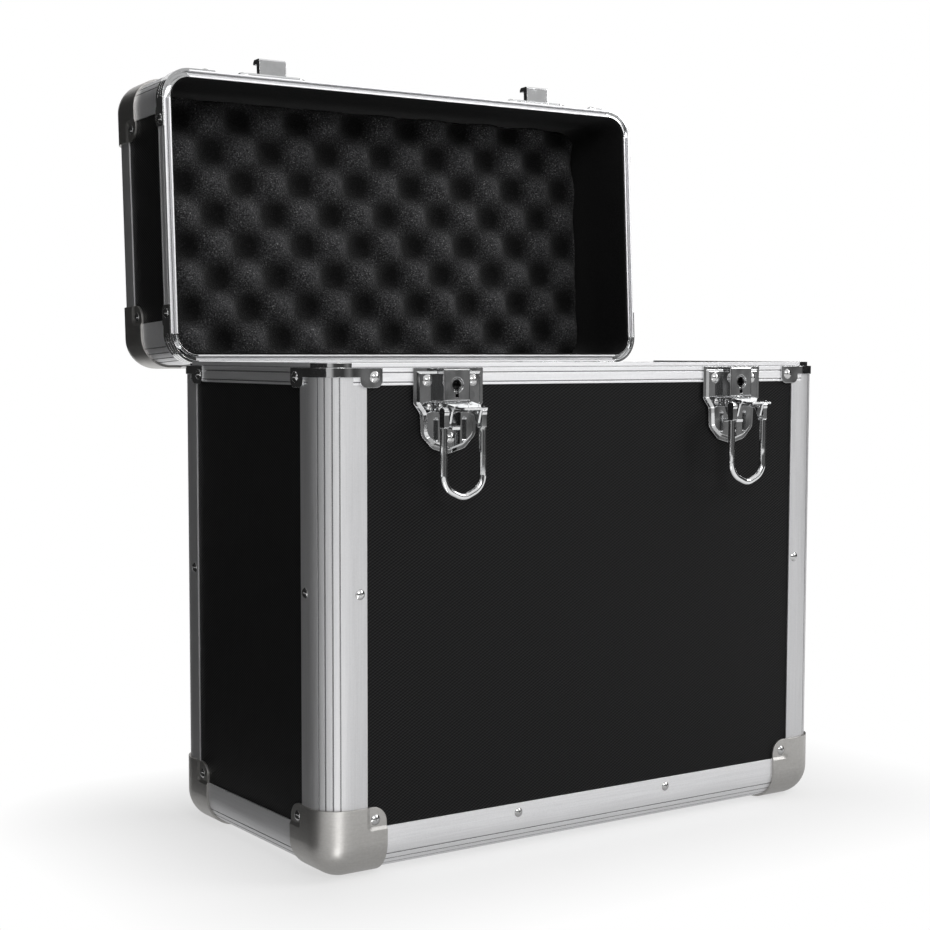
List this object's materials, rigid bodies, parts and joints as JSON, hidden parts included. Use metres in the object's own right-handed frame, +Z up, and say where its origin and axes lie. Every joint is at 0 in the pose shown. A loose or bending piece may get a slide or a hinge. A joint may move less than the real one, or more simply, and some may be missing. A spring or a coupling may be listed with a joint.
{
  "type": "record carrying case",
  "caption": "Tall hinged carrying case for 12-inch records with aluminium edging, metal corners, a foam-padded lid, two key-locking draw latches and a drop handle.",
  "frame": {"origin": "middle of the case body's footprint at floor level, under the feet", "axes": "+X to the right along the width, -Y out of the latch side, +Z up"},
  "size_m": [0.375, 0.3187, 0.4777],
  "materials": {
    "black_board": "satin",
    "satin_aluminium": "satin",
    "satin_nickel": "satin",
    "chrome_plate": "polished",
    "rivet_steel": "polished",
    "zinc_plate": "satin",
    "lining_felt": "matte",
    "lid_foam": "matte",
    "floor_foam": "matte",
    "foot_rubber": "matte",
    "grip_plastic": "satin"
  },
  "bodies": {
    "case": {"body_front_panel": "black_board", "body_back_panel": "black_board", "body_left_panel": "black_board", "body_right_panel": "black_board", "body_base_panel": "black_board", "body_wall_lining": "lining_felt", "body_floor_pad": "floor_foam", "body_corner_post_front_left": "satin_aluminium", "body_corner_post_front_right": "satin_aluminium", "body_corner_post_back_left": "satin_aluminium", "body_corner_post_back_right": "satin_aluminium", "base_edge_front": "satin_aluminium", "base_edge_back": "satin_aluminium", "base_edge_left": "satin_aluminium", "base_edge_right": "satin_aluminium", "base_ball_corners": "satin_nickel", "body_rim_front": "satin_aluminium", "body_rim_back": "satin_aluminium", "body_rim_left": "satin_aluminium", "body_rim_right": "satin_aluminium", "body_rim_corners": "chrome_plate", "body_rivets": "rivet_steel", "base_feet": "foot_rubber", "latch_left_base_plate": "chrome_plate", "latch_left_lock_case": "chrome_plate", "latch_left_pivot": "chrome_plate", "latch_right_base_plate": "chrome_plate", "latch_right_lock_case": "chrome_plate", "latch_right_pivot": "chrome_plate", "hinge_left_body_leaf": "zinc_plate", "hinge_right_body_leaf": "zinc_plate", "hinge_pins": "zinc_plate"},
    "lid": {"lid_top_panel": "black_board", "lid_front_panel": "black_board", "lid_back_panel": "black_board", "lid_left_panel": "black_board", "lid_right_panel": "black_board", "lid_corner_posts": "satin_aluminium", "lid_top_edge_front": "satin_aluminium", "lid_top_edge_back": "satin_aluminium", "lid_top_edge_left": "satin_aluminium", "lid_top_edge_right": "satin_aluminium", "lid_ball_corners": "satin_nickel", "lid_rim_frame": "satin_aluminium", "lid_rim_corners": "chrome_plate", "lid_wall_lining": "lining_felt", "lid_foam_pad": "lid_foam", "lid_rivets": "rivet_steel", "strike_left": "chrome_plate", "strike_right": "chrome_plate", "hinge_left_lid_leaf": "zinc_plate", "hinge_right_lid_leaf": "zinc_plate", "handle_brackets": "chrome_plate"},
    "latch_left_lever": {"latch_left_lever": "chrome_plate"},
    "latch_left_bail": {"latch_left_bail": "chrome_plate"},
    "latch_left_lock_cam": {"latch_left_lock_cam": "zinc_plate"},
    "latch_right_lever": {"latch_right_lever": "chrome_plate"},
    "latch_right_bail": {"latch_right_bail": "chrome_plate"},
    "latch_right_lock_cam": {"latch_right_lock_cam": "zinc_plate"},
    "handle": {"handle_grip": "grip_plastic"}
  },
  "joints": [
    {"name": "lid_hinge", "type": "hinge", "parent": "case", "child": "lid", "pos_m": [0, 0.0954, 0.2796], "axis": [1, 0, 0], "range_deg": [0, 93]},
    {"name": "latch_left_lever_turn", "type": "hinge", "parent": "case", "child": "latch_left_lever", "pos_m": [-0.106, -0.0988, 0.26], "axis": [1, 0, 0], "range_deg": [0, 80]},
    {"name": "latch_left_bail_swing", "type": "hinge", "parent": "latch_left_lever", "child": "latch_left_bail", "pos_m": [-0.106, -0.10651, 0.25763], "axis": [1, 0, 0], "range_deg": [-260, 0]},
    {"name": "latch_left_lock_turn", "type": "hinge", "parent": "case", "child": "latch_left_lock_cam", "pos_m": [-0.106, -0.097, 0.2726], "axis": [0, -1, 0], "range_deg": [0, 90]},
    {"name": "latch_right_lever_turn", "type": "hinge", "parent": "case", "child": "latch_right_lever", "pos_m": [0.106, -0.0988, 0.26], "axis": [1, 0, 0], "range_deg": [0, 80]},
    {"name": "latch_right_bail_swing", "type": "hinge", "parent": "latch_right_lever", "child": "latch_right_bail", "pos_m": [0.106, -0.10651, 0.25763], "axis": [1, 0, 0], "range_deg": [-260, 0]},
    {"name": "latch_right_lock_turn", "type": "hinge", "parent": "case", "child": "latch_right_lock_cam", "pos_m": [0.106, -0.097, 0.2726], "axis": [0, 1, 0], "range_deg": [0, 90]},
    {"name": "handle_swing", "type": "hinge", "parent": "lid", "child": "handle", "pos_m": [0, 0.19302, 0.37001], "axis": [1, 0, 0], "range_deg": [-6, 180]}
  ],
  "couplings": [
    {"joint": "latch_left_bail_swing", "follows": "latch_left_lever_turn", "ratio": -3.25},
    {"joint": "latch_right_bail_swing", "follows": "latch_right_lever_turn", "ratio": -3.25}
  ]
}
